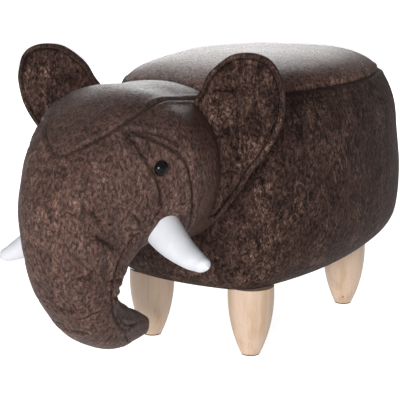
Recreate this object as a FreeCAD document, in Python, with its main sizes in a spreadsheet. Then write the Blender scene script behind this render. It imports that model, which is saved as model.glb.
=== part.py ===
import FreeCAD, Part
import Sketcher
import math
import os

# An elephant-shaped footstool: a plywood box frame on four turned legs, wrapped in foam and
# leather cloth, with a stuffed head, trunk, ears and tusks sewn on at the front.
# The head looks along -Y, the left side of the animal is +X, and Z = 0 is the floor.

Vector = FreeCAD.Vector
Rotation = FreeCAD.Rotation
Placement = FreeCAD.Placement

doc = FreeCAD.newDocument("footstool")
sheet = doc.addObject("Spreadsheet::Sheet", "Sizes")

driving_sizes = {
    # Padded body
    "body_width": 337.0,
    "body_length": 424.5,
    "body_setback": 113.25,
    "seam_height": 328.0,
    "crown_height": 32.0,
    "cover_thickness": 1.5,
    "soft_gap": 0.3,
    # Turned legs
    "leg_height": 88.0,
    "leg_top_radius": 28.5,
    "leg_foot_radius": 12.2,
    "leg_side_radius": 180.0,
    "leg_inset_across": 34.7,
    "leg_inset_along": 41.1,
    "leg_row_shift": -5.25,
    "pad_radius": 11.4,
    "pad_thickness": 1.6,
    # Leg fixings
    "bolt_radius": 4.0,
    "bolt_in_leg": 30.0,
    "bolt_above_board": 6.0,
    "bolt_clearance": 0.1,
    "nut_flange_radius": 9.5,
    "nut_flange_thickness": 1.6,
    "nut_barrel_radius": 5.2,
    "nut_barrel_length": 11.0,
    # Plywood frame
    "board_thickness": 15.0,
    "board_inset": 6.0,
    "panel_thickness": 12.0,
    "frame_inset": 9.0,
    "deck_thickness": 12.0,
    "deck_overhang": 10.0,
    "seat_foam_depth": 72.0,
    # Frame screws
    "screw_radius": 1.9,
    "screw_head_radius": 3.6,
    "screw_head_depth": 2.4,
    "screw_length": 38.0,
    "screw_clearance": 0.1,
    "screw_edge_distance": 25.0,
    # Underside cloth
    "dust_cloth_inset": 10.0,
    # Head and trunk
    "head_reach": 173.0,
    "head_width": 198.0,
    "head_depth": 181.0,
    "head_centre_height": 258.0,
    "trunk_tip_height": 62.0,
    "crown_panel_width": 118.0,
    "crown_tip_width": 14.0,
    "crown_shoulder_forward": 115.0,
    "crown_tip_forward": 201.0,
    # Eyes
    "eye_radius": 8.5,
    "eye_dome_height": 6.0,
    "eye_height": 271.0,
    "eye_forward": 136.0,
    "eye_shank_radius": 2.2,
    "eye_shank_length": 17.0,
    "eye_washer_radius": 7.5,
    "eye_washer_thickness": 1.6,
    "eye_fit": 0.2,
    # Tusks
    "tusk_base_radius": 23.0,
    "tusk_tip_out": 144.0,
    "tusk_tip_forward": 132.0,
    "tusk_left_tip_height": 169.0,
    "tusk_right_tip_height": 139.0,
    "tusk_root_out": 55.0,
    "tusk_root_forward": 113.0,
    "tusk_root_height": 211.0,
    "tusk_bend": 9.0,
    "tusk_skin_thickness": 1.2,
    # Ears
    "ear_axis_out": 93.0,
    "ear_axis_forward": 25.0,
    "ear_axis_height": 252.0,
    "ear_lobe_radius": 48.5,
    "ear_lobe_out": 33.0,
    "ear_lobe_up": 86.0,
    "ear_tip_radius": 8.0,
    "ear_tip_out": -12.0,
    "ear_tip_down": 54.0,
    "ear_thickness": 9.0,
    "ear_edge_roll": 4.0,
    "ear_skin_thickness": 1.2,
    "ear_clearance": 0.6,
}

# Sizes of the frame that follow from the body: the board fills the foot of the padded wall, and the
# panels, deck, cloth and legs keep their distance from the board's edge
foot_width_share, foot_length_share = 0.678, 0.827
panel_share = 0.5
derived_sizes = {
    "board_width": "=body_width * %g - 2 * board_inset" % foot_width_share,
    "board_length": "=body_length * %g - 2 * board_inset" % foot_length_share,
    "frame_width": "=board_width - 2 * frame_inset",
    "frame_length": "=board_length - 2 * frame_inset",
    "side_panel_length": "=board_length * %g" % panel_share,
    "end_panel_width": "=board_width * %g" % panel_share,
    "deck_width": "=board_width + 2 * deck_overhang",
    "deck_length": "=board_length + 2 * deck_overhang",
    "dust_cloth_width": "=board_width - 2 * dust_cloth_inset",
    "dust_cloth_length": "=board_length - 2 * dust_cloth_inset",
    "leg_spacing_across": "=board_width - 2 * leg_inset_across",
    "leg_spacing_along": "=board_length - 2 * leg_inset_along",
}
all_sizes = {**driving_sizes, **derived_sizes}
for row, (alias, value) in enumerate(all_sizes.items(), start=1):
    sheet.set("A%d" % row, alias)
    sheet.set("B%d" % row, str(value))
    sheet.setAlias("B%d" % row, alias)
doc.recompute()

# Angles of the ear and how far it swings, in degrees
ear_sweep_angle = 4.0
ear_lean_angle = 5.0
ear_forward_angle = 40.0
ear_back_angle = 25.0
right_ear_rest_angle = 16.0


def size(alias):
    return float(sheet.get(alias))


def bind(obj, **expressions):
    for name, text in expressions.items():
        obj.setExpression(name.replace("__", "."), text)
    return obj


nodes = {}


def node(label, obj):
    obj.Label = label
    nodes[label] = obj
    return obj


def shape_node(label, shape):
    feature = doc.addObject("Part::Feature", label)
    feature.Shape = shape
    return node(label, feature)


# Heights and places that follow from the driving sizes
overrun = size("board_thickness")
body_bottom = size("leg_height")
board_bottom = body_bottom + size("cover_thickness")
board_top = board_bottom + size("board_thickness")
seat_top = size("seam_height") + size("crown_height")
deck_top = seat_top - size("cover_thickness") - size("seat_foam_depth")
deck_bottom = deck_top - size("deck_thickness")
body_front = size("body_setback") - size("body_length") / 2
side_signs = {"left": 1, "right": -1}
end_signs = {"front": -1, "rear": 1}
corner_signs = [(across, along) for along in (-1, 1) for across in (-1, 1)]
deck_top_text = "Sizes.seam_height + Sizes.crown_height - Sizes.cover_thickness - Sizes.seat_foam_depth"
board_bottom_text = "Sizes.leg_height + Sizes.cover_thickness"
board_top_text = board_bottom_text + " + Sizes.board_thickness"
deck_bottom_text = deck_top_text + " - Sizes.deck_thickness"
leg_row_text = "Sizes.body_setback + Sizes.leg_row_shift"


def arc(first, middle, last):
    return Part.Arc(first, middle, last).toShape()


# A rectangle with bowed sides and round corners, made of eight arcs that run into one another.
# Shares are (corner, bow): the corner of the lesser half size, the bow of the side's own half length.
# The outline is worked out flat and carried into space by the given function.
body_corner_share = 0.42
board_bow_share = 2.6
head_corner_share, head_bow_share = 0.74, 1.7


def bowed_outline(half_across, half_along, corner_share, bow_share, to_space):
    corner = corner_share * min(half_across, half_along)
    side_radius = bow_share * half_along
    end_radius = bow_share * half_across
    side_centre = half_across - side_radius
    end_centre = half_along - end_radius
    reach_side = side_radius - corner
    reach_end = end_radius - corner
    span = math.hypot(side_centre, end_centre)
    along_span = (reach_side ** 2 - reach_end ** 2 + span ** 2) / (2 * span)
    off_span = math.sqrt(reach_side ** 2 - along_span ** 2)
    step_x, step_y = -side_centre / span, end_centre / span
    corner_x = side_centre + step_x * along_span - step_y * off_span
    corner_y = step_y * along_span + step_x * off_span

    def on_arc(centre_x, centre_y, radius):
        length = math.hypot(corner_x - centre_x, corner_y - centre_y)
        return (centre_x + (corner_x - centre_x) * radius / length,
                centre_y + (corner_y - centre_y) * radius / length)

    side_end = on_arc(side_centre, 0, side_radius)
    end_end = on_arc(0, end_centre, end_radius)
    middle_x = (side_end[0] + end_end[0]) / 2 - corner_x
    middle_y = (side_end[1] + end_end[1]) / 2 - corner_y
    middle_length = math.hypot(middle_x, middle_y)
    corner_middle = (corner_x + corner * middle_x / middle_length, corner_y + corner * middle_y / middle_length)

    def point(pair, sign_x, sign_y):
        return to_space(sign_x * pair[0], sign_y * pair[1])

    edges = []
    for sign_x, sign_y in ((1, 1), (-1, 1), (-1, -1), (1, -1)):
        first, last = (side_end, end_end) if sign_x == sign_y else (end_end, side_end)
        if sign_x == sign_y:
            edges.append(arc(point(side_end, sign_x, -sign_y), point((half_across, 0), sign_x, 1),
                             point(side_end, sign_x, sign_y)))
        else:
            edges.append(arc(point(end_end, -sign_x, sign_y), point((0, half_along), 1, sign_y),
                             point(end_end, sign_x, sign_y)))
        edges.append(arc(point(first, sign_x, sign_y), point(corner_middle, sign_x, sign_y),
                         point(last, sign_x, sign_y)))
    return Part.Wire(edges)


def level_outline(half_across, half_along, height, bow_share):
    def to_space(x, y):
        return Vector(x, size("body_setback") + y, height)

    return bowed_outline(half_across, half_along, body_corner_share, bow_share, to_space)


def ring(centre, axis, radius):
    return Part.Wire([Part.makeCircle(radius, centre, axis)])


def block(low, high):
    return Part.makeBox(high.x - low.x, high.y - low.y, high.z - low.z, low)


# Forms of the padded body: rows of height, width, length and bow as shares of the body's sizes
wall_shares = ((0.0, foot_width_share, foot_length_share, 2.6), (0.05, 0.803, 0.897, 2.6), (0.15, 0.94, 0.933, 2.3),
               (0.28, 0.992, 0.974, 2.0), (0.45, 1.0, 1.0, 1.9), (0.68, 0.971, 0.996, 1.9), (0.88, 0.923, 0.978, 1.9),
               (1.0, 0.832, 0.932, 1.9))
crown_shares = ((0.0, 1.0), (0.42, 0.906), (0.78, 0.684), (0.95, 0.459), (1.0, 0.28))


def wall_form(inset):
    wires = []
    for up, wide, long, bow in wall_shares:
        height = body_bottom + up * (size("seam_height") - body_bottom) + (inset if up == 0 else 0)
        wires.append(level_outline(wide * size("body_width") / 2 - inset, long * size("body_length") / 2 - inset,
                                   height, bow))
    return Part.makeLoft(wires, True, False)


def crown_form(inset):
    wide, long, bow = wall_shares[-1][1:]
    wires = []
    for up, share in crown_shares:
        height = size("seam_height") + up * (size("crown_height") - inset)
        wires.append(level_outline(share * wide * size("body_width") / 2 - inset,
                                   share * long * size("body_length") / 2 - inset, height, bow))
    return Part.makeLoft(wires, True, False)


# Form of the head and trunk: reach, height, width and depth as shares, and the tilt in degrees
head_shares = ((-0.12, 0.93, 0.84, 1.03, 0), (0.106, 0.962, 0.9, 1.036, 0), (0.297, 0.979, 1.005, 1.008, 0),
               (0.541, 0.998, 1.039, 0.983, 10), (0.748, 0.917, 0.874, 0.93, 30), (0.903, 0.774, 0.715, 0.82, 52),
               (0.978, 0.592, 0.6, 0.652, 74), (1.0, 0.409, 0.504, 0.486, 92), (0.931, 0.247, 0.433, 0.354, 118),
               (0.787, 0.115, 0.368, 0.299, 142), (0.611, 0.062, 0.264, 0.278, 163), (0.441, 0.034, 0.17, 0.227, 167),
               (0.277, 0.0, 0.095, 0.123, 166))
trunk_row = 6


def head_section(row):
    reach, up, wide, deep, tilt = head_shares[row]
    rise = size("head_centre_height") - size("trunk_tip_height")
    centre = Vector(0, body_front - reach * size("head_reach"), size("trunk_tip_height") + up * rise)
    angle = math.radians(tilt)
    upward = Vector(0, -math.sin(angle), math.cos(angle))
    return centre, upward, wide * size("head_width") / 2, deep * size("head_depth") / 2


def head_form(inset):
    wires = []
    for row in range(len(head_shares)):
        centre, upward, half_wide, half_deep = head_section(row)

        def to_space(x, y):
            return centre + Vector(x, 0, 0) + upward * y

        wires.append(bowed_outline(half_wide - inset, half_deep - inset, head_corner_share, head_bow_share,
                                   to_space))
    return Part.makeLoft(wires, True, False)


def beyond_section(row, shift):
    # The space past one section of the trunk, as a slab that is wider than the head
    centre, upward = head_section(row)[:2]
    ahead = Vector(1, 0, 0).cross(upward)
    reach = size("head_width")
    slab = Part.makeBox(2 * reach, 2 * reach, reach, Vector(-reach, -reach, 0))
    turn = Rotation(Vector(0, 0, 1), ahead)
    slab.Placement = Placement(centre + ahead * shift, turn)
    return slab


cover = size("cover_thickness")
gap = size("soft_gap")
fit = size("screw_clearance")
wall_outer = wall_form(0)
wall_inner = wall_form(cover)
wall_core = wall_form(cover + gap)
body_keep_out = wall_form(-gap).fuse(crown_form(-gap))


# Rigid pieces: boards, panels, legs and their fixings
def own_plane(body, role):
    return next(item for item in body.Origin.OriginFeatures if item.Role == role)


def sketch_on(body, role, name):
    sketch = body.newObject("Sketcher::SketchObject", name)
    sketch.AttachmentSupport = [(own_plane(body, role), "")]
    sketch.MapMode = "FlatFace"
    return sketch


def place(obj, across="0 mm", along="0 mm", up="0 mm"):
    for letter, text in (("x", across), ("y", along), ("z", up)):
        obj.setExpression(".Placement.Base." + letter, text)
    return obj


def bowed_board(width, length, bottom, top):
    outline = level_outline(width / 2, length / 2, bottom, board_bow_share)
    return Part.Face(outline).extrude(Vector(0, 0, top - bottom))


def blank_board(name, width, length, bottom, top):
    blank = doc.addObject("Part::Feature", name)
    blank.Shape = bowed_board(size(width), size(length), bottom, top)
    return blank


def post(name, radius_text, height_text, across, along, up):
    return place(bind(doc.addObject("Part::Cylinder", name), Radius=radius_text, Height=height_text),
                 across, along, up)


def group(name, members):
    compound = doc.addObject("Part::Compound", name)
    compound.Links = members
    return compound


def drilled(label, base, tool):
    cut = doc.addObject("Part::Cut", label)
    cut.Base = base
    cut.Tool = tool
    return node(label, cut)


leg_places = {}
for end, end_sign in end_signs.items():
    for side, side_sign in side_signs.items():
        across = "%d * Sizes.leg_spacing_across / 2" % side_sign
        along = "%s + %d * Sizes.leg_spacing_along / 2" % (leg_row_text, end_sign)
        leg_places[end + "_" + side] = (across, along)


def turned_leg(label, across, along):
    # A half profile with a bowed side and the bore for its bolt, turned about the leg's own axis
    foot, top, bore = size("leg_foot_radius"), size("leg_top_radius"), size("bolt_radius") + size("bolt_clearance")
    low, high = size("pad_thickness"), size("leg_height")
    deep = high - size("bolt_in_leg") - size("bolt_clearance")
    body = doc.addObject("PartDesign::Body", label)
    sketch = sketch_on(body, "XZ_Plane", label + "_profile")
    chord = Vector(top - foot, high - low, 0)
    radius = size("leg_side_radius")
    inward = Vector(-chord.y, chord.x, 0) * (1 / chord.Length)
    middle = Vector((top + foot) / 2, (high + low) / 2, 0)
    centre = middle + inward * math.sqrt(radius ** 2 - (chord.Length / 2) ** 2)
    start = math.atan2(low - centre.y, foot - centre.x)
    stop = math.atan2(high - centre.y, top - centre.x)
    side = Part.ArcOfCircle(Part.Circle(centre, Vector(0, 0, 1), radius), start, stop)
    points = [Vector(top, high, 0), Vector(bore, high, 0), Vector(bore, deep, 0), Vector(0, deep, 0),
              Vector(0, low, 0), Vector(foot, low, 0)]
    for first, last in zip(points, points[1:]):
        sketch.addGeometry(Part.LineSegment(first, last))
    sketch.addGeometry(side)
    for line in range(4):
        sketch.addConstraint(Sketcher.Constraint("Coincident", line, 2, line + 1, 1))
    sketch.addConstraint(Sketcher.Constraint("Coincident", 4, 2, 5, 1))
    sketch.addConstraint(Sketcher.Constraint("Coincident", 5, 2, 0, 1))
    for line, direction in enumerate(("Horizontal", "Vertical", "Horizontal", "Vertical", "Horizontal")):
        sketch.addConstraint(Sketcher.Constraint(direction, line))
    sketch.addConstraint(Sketcher.Constraint("PointOnObject", 3, 1, -2))
    for direction, line, end, value, text in (
            ("DistanceX", 4, 2, foot, "Sizes.leg_foot_radius"),
            ("DistanceX", 0, 1, top, "Sizes.leg_top_radius"),
            ("DistanceX", 1, 1, bore, "Sizes.bolt_radius + Sizes.bolt_clearance"),
            ("DistanceY", 4, 2, low, "Sizes.pad_thickness"),
            ("DistanceY", 0, 1, high, "Sizes.leg_height"),
            ("DistanceY", 2, 1, deep, "Sizes.leg_height - Sizes.bolt_in_leg - Sizes.bolt_clearance")):
        index = sketch.addConstraint(Sketcher.Constraint(direction, -1, 1, line, end, value))
        sketch.setExpression("Constraints[%d]" % index, text)
    index = sketch.addConstraint(Sketcher.Constraint("Radius", 5, radius))
    sketch.setExpression("Constraints[%d]" % index, "Sizes.leg_side_radius")
    turn = body.newObject("PartDesign::Revolution", label + "_turned")
    turn.Profile = sketch
    turn.ReferenceAxis = (sketch, ["V_Axis"])
    turn.Angle = 360
    return node(label, place(body, across, along))


for corner, (across, along) in leg_places.items():
    turned_leg("leg_" + corner, across, along)

pads, bolts, nuts, nut_bores, cloth_holes = [], [], [], [], []
for corner, (across, along) in leg_places.items():
    pads.append(post("pad_" + corner, "Sizes.pad_radius", "Sizes.pad_thickness", across, along, "0 mm"))
    bolts.append(post("bolt_" + corner, "Sizes.bolt_radius",
                      "Sizes.bolt_in_leg + Sizes.cover_thickness + Sizes.board_thickness + Sizes.bolt_above_board",
                      across, along, "Sizes.leg_height - Sizes.bolt_in_leg"))
    flange = post("nut_flange_" + corner, "Sizes.nut_flange_radius", "Sizes.nut_flange_thickness",
                  across, along, board_top_text)
    barrel = post("nut_barrel_" + corner, "Sizes.nut_barrel_radius",
                  "Sizes.nut_barrel_length + Sizes.nut_flange_thickness", across, along,
                  board_top_text + " - Sizes.nut_barrel_length")
    thread = post("nut_thread_" + corner, "Sizes.bolt_radius + Sizes.bolt_clearance",
                  "4 * Sizes.nut_barrel_length", across, along, board_top_text + " - 2 * Sizes.nut_barrel_length")
    blank = doc.addObject("Part::Fuse", "nut_blank_" + corner)
    blank.Base, blank.Tool = flange, barrel
    nut = doc.addObject("Part::Cut", "nut_" + corner)
    nut.Base, nut.Tool = blank, thread
    nuts.append(nut)
    nut_bores.append(post("nut_bore_" + corner, "Sizes.nut_barrel_radius + Sizes.bolt_clearance",
                          "4 * Sizes.board_thickness", across, along, board_bottom_text + " - Sizes.board_thickness"))
    cloth_holes.append(post("cloth_hole_" + corner, "Sizes.bolt_radius + Sizes.bolt_clearance",
                            "4 * Sizes.cover_thickness", across, along, "Sizes.leg_height - Sizes.cover_thickness"))
node("foot_pads", group("foot_pad_group", pads))
node("hanger_bolts", group("hanger_bolt_group", bolts))
node("tee_nuts", group("tee_nut_group", nuts))

# Countersunk screws hold the deck and the base board to the upright panels
side_middle = size("frame_width") / 2 - size("panel_thickness") / 2
end_middle = size("frame_length") / 2 - size("panel_thickness") / 2
side_row = size("side_panel_length") / 2 - size("screw_edge_distance")
end_row = size("end_panel_width") / 2 - size("screw_edge_distance")
screw_places = [(across * side_middle, along * side_row) for across, along in corner_signs]
screw_places += [(across * end_row, along * end_middle) for across, along in corner_signs]


def screw(across, along, head_height, direction, slack):
    head_radius, radius = size("screw_head_radius") + slack, size("screw_radius") + slack
    depth, length = size("screw_head_depth"), size("screw_length")
    axis = Vector(0, 0, -direction)
    start = Vector(across, size("body_setback") + along, head_height)
    head = Part.makeCone(head_radius, radius, depth, start, axis)
    shank = Part.makeCylinder(radius, length + slack - depth, start + axis * depth, axis)
    return head.fuse(shank).removeSplitter()


def all_screws(slack):
    upper = [screw(across, along, deck_top, 1, slack) for across, along in screw_places]
    lower = [screw(across, along, board_bottom, -1, slack) for across, along in screw_places]
    return upper, lower


upper_screws, lower_screws = all_screws(0)
shape_node("frame_screws", Part.makeCompound(upper_screws + lower_screws))
upper_pilots, lower_pilots = all_screws(fit)
deck_pilots = doc.addObject("Part::Feature", "deck_pilots")
deck_pilots.Shape = Part.makeCompound(upper_pilots)
board_pilots = doc.addObject("Part::Feature", "board_pilots")
board_pilots.Shape = Part.makeCompound(lower_pilots)
panel_pilots = group("panel_pilots", [deck_pilots, board_pilots])

board_blank = blank_board("base_board_blank", "board_width", "board_length", board_bottom, board_top)
drilled("base_board", board_blank, group("base_board_holes", [board_pilots] + nut_bores))
deck_blank = blank_board("deck_blank", "deck_width", "deck_length", deck_bottom, deck_top)
drilled("seat_deck", deck_blank, deck_pilots)
dust_blank = blank_board("dust_cover_blank", "dust_cloth_width", "dust_cloth_length", body_bottom, board_bottom)
drilled("dust_cover", dust_blank, group("bolt_holes", cloth_holes))

panel_height_text = deck_bottom_text + " - (" + board_top_text + ")"
for side, sign in side_signs.items():
    panel = bind(doc.addObject("Part::Box", "side_panel_blank_" + side), Length="Sizes.panel_thickness",
                 Width="Sizes.side_panel_length", Height=panel_height_text)
    inner = "Sizes.frame_width / 2 - Sizes.panel_thickness" if sign > 0 else "-Sizes.frame_width / 2"
    place(panel, inner, "Sizes.body_setback - Sizes.side_panel_length / 2", board_top_text)
    drilled("side_panel_" + side, panel, panel_pilots)
for end, sign in end_signs.items():
    panel = bind(doc.addObject("Part::Box", "end_panel_blank_" + end), Width="Sizes.panel_thickness",
                 Length="Sizes.end_panel_width", Height=panel_height_text)
    near = "Sizes.frame_length / 2 - Sizes.panel_thickness" if sign > 0 else "-Sizes.frame_length / 2"
    place(panel, "-Sizes.end_panel_width / 2", "Sizes.body_setback + " + near, board_top_text)
    drilled(end + "_panel", panel, panel_pilots)
doc.recompute()


# Foam and leather cloth of the body
def slab_between(low, high):
    wide, long = size("body_width"), size("body_length")
    return block(Vector(-wide, size("body_setback") - long, low), Vector(wide, size("body_setback") + long, high))


def grown_board(width, length, low, high):
    return bowed_board(size(width) + 2 * gap, size(length) + 2 * gap, low, high)


board_space = grown_board("board_width", "board_length", body_bottom - overrun, deck_bottom)
deck_space = grown_board("deck_width", "deck_length", deck_bottom - gap, deck_top + overrun)
dust_space = grown_board("dust_cloth_width", "dust_cloth_length", body_bottom - overrun, board_bottom + gap)
side_foam = wall_core.common(slab_between(0, deck_top)).cut(board_space).cut(deck_space)
seat_foam = wall_core.common(slab_between(deck_top + gap, seat_top)).fuse(crown_form(cover + gap)).removeSplitter()
shape_node("side_foam", side_foam)
shape_node("seat_foam", seat_foam)
side_cover = wall_outer.cut(wall_inner).cut(dust_space)
for hole in cloth_holes:
    side_cover = side_cover.cut(hole.Shape)
shape_node("side_cover", side_cover)
shape_node("seat_cover", crown_form(0).cut(crown_form(cover)))

# Head and trunk: one stuffed form, its cover cut into sewn panels along side-view and plan outlines
head_outer = head_form(0)
head_shell = head_outer.cut(head_form(cover)).cut(body_keep_out)
head_core = head_form(cover + gap).cut(body_keep_out)
head_half_space = size("head_width")


def head_point(reach_share, up_share):
    rise = size("head_centre_height") - size("trunk_tip_height")
    return Vector(-head_half_space, body_front - reach_share * size("head_reach"),
                  size("trunk_tip_height") + up_share * rise)


def side_space(edges):
    # A side-view outline carried right across the head
    return Part.Face(Part.Wire(edges)).extrude(Vector(2 * head_half_space, 0, 0))


def line(first, last):
    return Part.LineSegment(first, last).toShape()


def run(points):
    return [line(first, last) for first, last in zip(points, points[1:])]


fan_shares = (0.90, 1.29)
cheek_shares = (fan_shares, (0.67, 1.16), (0.54, 0.96), (0.49, 0.76), (0.30, 0.53))
eye_seam_shares = (fan_shares, (0.835, 1.08), (0.72, 0.81))
behind_shares = ((0.30, 0.30), (-0.6, 0.30), (-0.6, 1.7), (0.90, 1.7))
fan, cheek_over, cheek_turn, cheek_under, cheek_end = [head_point(*pair) for pair in cheek_shares]
behind = [head_point(*pair) for pair in behind_shares]
cheek_space = side_space([arc(fan, cheek_over, cheek_turn), arc(cheek_turn, cheek_under, cheek_end)]
                         + run([cheek_end] + behind + [fan]))
eye_middle, tusk_seam = [head_point(*pair) for pair in eye_seam_shares[1:]]
eye_space = side_space([arc(fan, eye_middle, tusk_seam)] + run([tusk_seam, cheek_end] + behind + [fan]))
spine = [head_section(row)[0] - Vector(head_half_space, 0, 0) for row in range(len(head_shares))]
under_close_shares = ((0.10, 0.0), (0.10, 0.40))
under_close = [head_point(*pair) for pair in under_close_shares]
under_space = side_space([arc(tusk_seam, spine[6], spine[8]), arc(spine[8], spine[10], spine[12])]
                         + run([spine[12]] + under_close + [cheek_end, tusk_seam]))

crown_half = size("crown_panel_width") / 2
crown_shoulder = body_front - size("crown_shoulder_forward")
crown_tip = body_front - size("crown_tip_forward")
crown_bow_shares = (0.7, 0.62)
crown_base = size("head_centre_height")


def crown_corner(sign):
    tip_half = size("crown_tip_width") / 2
    middle = Vector(sign * crown_bow_shares[0] * crown_half,
                    crown_shoulder + crown_bow_shares[1] * (crown_tip - crown_shoulder), crown_base)
    shoulder = Vector(sign * crown_half, crown_shoulder, crown_base)
    return shoulder, middle, Vector(sign * tip_half, crown_tip, crown_base)


left_corner, right_corner = crown_corner(1), crown_corner(-1)
crown_back = [Vector(sign * crown_half, size("body_setback"), crown_base) for sign in (1, -1)]
crown_outline = [arc(*left_corner), line(left_corner[2], right_corner[2]), arc(*reversed(right_corner)),
                 line(right_corner[0], crown_back[1]), line(crown_back[1], crown_back[0]),
                 line(crown_back[0], left_corner[0])]
crown_space = Part.Face(Part.Wire(crown_outline)).extrude(Vector(0, 0, size("head_depth")))


def half_space(sign):
    reach = 2 * head_half_space
    low = Vector(0 if sign > 0 else -reach, body_front - reach, -reach)
    return block(low, low + Vector(reach, 2 * reach, 3 * reach))


# Eyes stand square to the head where their height and reach meet its side
def eye_seat(sign):
    start = Vector(0, body_front - size("eye_forward"), size("eye_height"))
    probe = line(start, start + Vector(sign * size("head_width"), 0, 0))
    inside = head_outer.common(probe)
    point = max((vertex.Point for vertex in inside.Vertexes), key=lambda spot: sign * spot.x)
    face = min(head_outer.Faces, key=lambda item: item.distToShape(Part.Vertex(point))[0])
    across, along = face.Surface.parameter(point)
    normal = face.normalAt(across, along)
    return point, normal if normal.x * sign > 0 else normal * -1


eye_seats = {side: eye_seat(sign) for side, sign in side_signs.items()}


def eye_cylinder(seat, radius, first, last):
    point, normal = seat
    return Part.makeCylinder(radius, last - first, point + normal * first, normal)


shank_deep = size("eye_shank_length") + gap
washer_outer = -(cover + gap)
washer_inner = washer_outer - size("eye_washer_thickness")
eye_holes, washer_pockets, washers = [], [], []
for seat in eye_seats.values():
    eye_holes.append(eye_cylinder(seat, size("eye_shank_radius") + size("eye_fit"), -shank_deep, overrun))
    washer_pockets.append(eye_cylinder(seat, size("eye_washer_radius") + gap, washer_inner - gap, overrun))
    disc = eye_cylinder(seat, size("eye_washer_radius"), washer_inner, washer_outer)
    washers.append(disc.cut(eye_holes[-1]))
shape_node("eye_washers", Part.makeCompound(washers))


def eye_button(seat):
    # A domed button on a shank, turned about its own axis and set square to the head
    radius, dome, stem = size("eye_radius"), size("eye_dome_height"), size("eye_shank_radius")
    ball = (radius ** 2 + dome ** 2) / (2 * dome)
    angle = (math.pi / 2 + math.asin((ball - dome) / ball)) / 2
    shoulder = Vector(ball * math.cos(angle), 0, dome - ball + ball * math.sin(angle))
    rim, crest = Vector(radius, 0, 0), Vector(0, 0, dome)
    neck, foot = Vector(stem, 0, 0), Vector(stem, 0, -size("eye_shank_length"))
    middle = Vector(0, 0, -size("eye_shank_length"))
    profile = Part.Wire([arc(rim, shoulder, crest)] + run([crest, middle, foot, neck, rim]))
    button = Part.Face(profile).revolve(Vector(0, 0, 0), Vector(0, 0, 1), 360)
    point, normal = seat
    button.Placement = Placement(point + normal * gap, Rotation(Vector(0, 0, 1), normal))
    return button


for side, seat in eye_seats.items():
    shape_node("eye_" + side, eye_button(seat))


def with_eye_holes(shape):
    for hole in eye_holes:
        shape = shape.cut(hole)
    return shape


tip_row = len(head_shares) - 1
panel_shell = with_eye_holes(head_shell)
crown_panel = panel_shell.common(crown_space)
below_crown = panel_shell.cut(crown_space)
under_panel = below_crown.common(under_space)
sides = below_crown.cut(under_space)
cheeks = sides.common(cheek_space)
eye_panels = sides.cut(cheek_space).common(eye_space)
faces = sides.cut(cheek_space).cut(eye_space)
shape_node("crown_panel", crown_panel)
shape_node("under_panel", under_panel)
for side, sign in side_signs.items():
    shape_node("cheek_panel_" + side, cheeks.common(half_space(sign)))
    shape_node("eye_panel_" + side, eye_panels.common(half_space(sign)))
shape_node("face_panel", faces)
trunk_inside = head_form(cover).common(beyond_section(trunk_row, 0))
shape_node("trunk_tip_patch", trunk_inside.common(beyond_section(tip_row, -cover)))
head_stuffing = head_core.cut(beyond_section(trunk_row, -gap / 2))
for pocket, hole in zip(washer_pockets, eye_holes):
    head_stuffing = head_stuffing.cut(pocket).cut(hole)
shape_node("head_stuffing", head_stuffing)
trunk_stuffing = head_core.common(beyond_section(trunk_row, gap / 2)).cut(beyond_section(tip_row, -cover - gap))
shape_node("trunk_stuffing", trunk_stuffing)

# Tusks: curved, tapering and blunt, each a filled skin that sits on the face
tusk_shares = ((0.0, 1.0), (0.3, 0.87), (0.6, 0.65), (0.85, 0.44), (1.0, 0.18))


def tusk_form(sign, inset):
    root = Vector(sign * size("tusk_root_out"), body_front - size("tusk_root_forward"), size("tusk_root_height"))
    tip_height = size("tusk_left_tip_height") if sign > 0 else size("tusk_right_tip_height")
    tip = Vector(sign * size("tusk_tip_out"), body_front - size("tusk_tip_forward"), tip_height)
    axis = (tip - root) * (1 / (tip - root).Length)
    across = Vector(0, 0, 1).cross(axis).normalize()
    downward = axis.cross(across) * -1
    length = (tip - root).Length - inset
    wires = []
    for along, share in tusk_shares:
        bend = 4 * along * (1 - along) * size("tusk_bend")
        centre = root + axis * (along * length) + downward * bend
        radius = share * size("tusk_base_radius") - inset
        wires.append(ring(centre, axis, radius))
    return Part.makeLoft(wires, True, False)


head_keep_out = head_form(-gap)
for side, sign in side_signs.items():
    skin = tusk_form(sign, 0).cut(tusk_form(sign, size("tusk_skin_thickness"))).cut(head_keep_out)
    fill = tusk_form(sign, size("tusk_skin_thickness") + gap).cut(head_keep_out)
    shape_node("tusk_skin_" + side, skin)
    shape_node("tusk_fill_" + side, fill)


# Ears: a round lobe that tapers to a tip, cut clear of the head over the whole swing
def ear_outline(inset, depth):
    lobe = Vector(size("ear_lobe_out"), depth, size("ear_lobe_up"))
    tip = Vector(size("ear_tip_out"), depth, -size("ear_tip_down"))
    lobe_radius, tip_radius = size("ear_lobe_radius") - inset, size("ear_tip_radius") - inset
    along = (lobe - tip) * (1 / (lobe - tip).Length)
    outward = Vector(along.z, 0, -along.x)
    flare = math.asin((lobe_radius - tip_radius) / (lobe - tip).Length)

    def touch(centre, radius, sign):
        return centre + (outward * (sign * math.cos(flare)) - along * math.sin(flare)) * radius

    def on_lobe(angle):
        return lobe + (outward * math.cos(angle) + along * math.sin(angle)) * lobe_radius

    crest = on_lobe(math.pi / 2)
    quarter = (math.pi / 2 - flare) / 2
    return Part.Wire([
        line(touch(tip, tip_radius, 1), touch(lobe, lobe_radius, 1)),
        arc(touch(lobe, lobe_radius, 1), on_lobe(quarter), crest),
        arc(crest, on_lobe(math.pi - quarter), touch(lobe, lobe_radius, -1)),
        line(touch(lobe, lobe_radius, -1), touch(tip, tip_radius, -1)),
        arc(touch(tip, tip_radius, -1), tip - along * tip_radius, touch(tip, tip_radius, 1)),
    ])


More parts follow.
